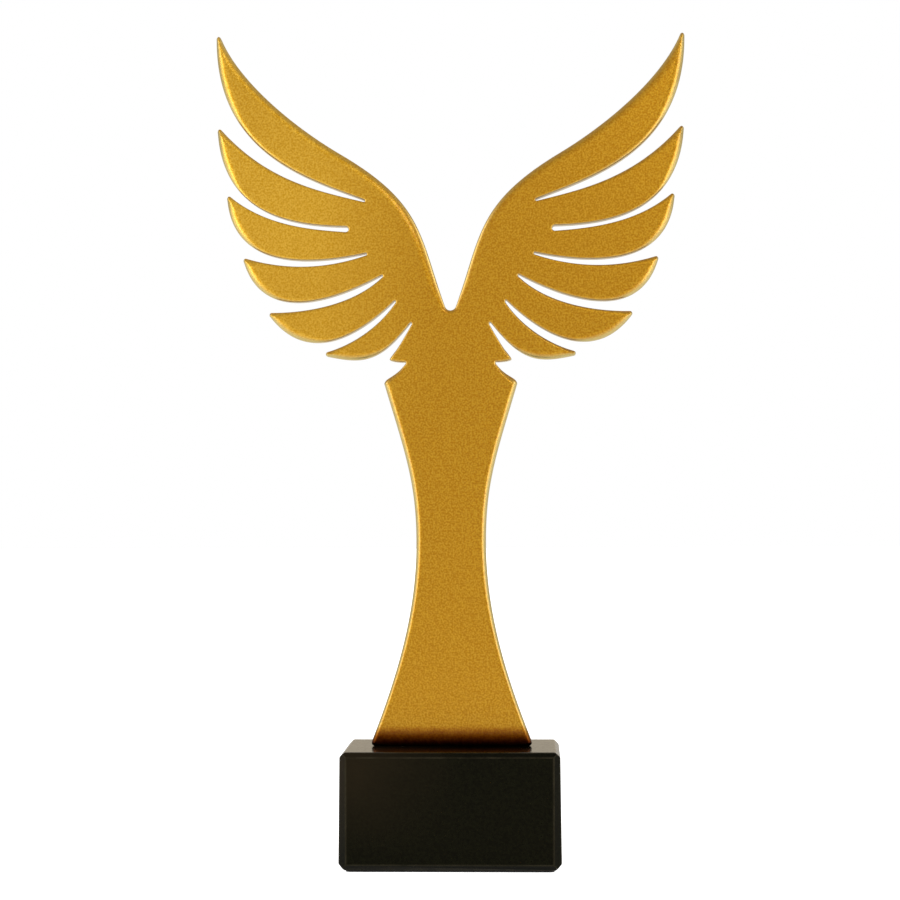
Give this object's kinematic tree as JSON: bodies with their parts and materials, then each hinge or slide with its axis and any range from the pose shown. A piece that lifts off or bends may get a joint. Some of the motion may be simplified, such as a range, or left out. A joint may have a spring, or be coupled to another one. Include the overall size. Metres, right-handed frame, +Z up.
{
  "type": "figure trophy",
  "caption": "Award trophy: a flat gold figure of two raised feathered wings on a slender waisted stem, standing on a black rectangular block with chamfered edges.",
  "frame": {"origin": "middle of the underside of the felt pad, where the trophy stands", "axes": "+Z up, +X to the right when looking at the front, the front faces -Y"},
  "size_m": [0.164, 0.05, 0.29],
  "materials": {
    "gold_figure": "gold metallic coat, fine grain, satin",
    "black_block": "black satin lacquer",
    "black_felt": "matte felt",
    "steel_fasteners": "zinc-plated"
  },
  "bodies": {
    "root": {"wing_plate": "gold_figure", "base_block": "black_block", "felt_pad": "black_felt", "fixing_screw_left": "steel_fasteners", "fixing_screw_right": "steel_fasteners", "spring_washer_left": "steel_fasteners", "spring_washer_right": "steel_fasteners", "flat_washer_left": "steel_fasteners", "flat_washer_right": "steel_fasteners"}
  },
  "joints": []
}
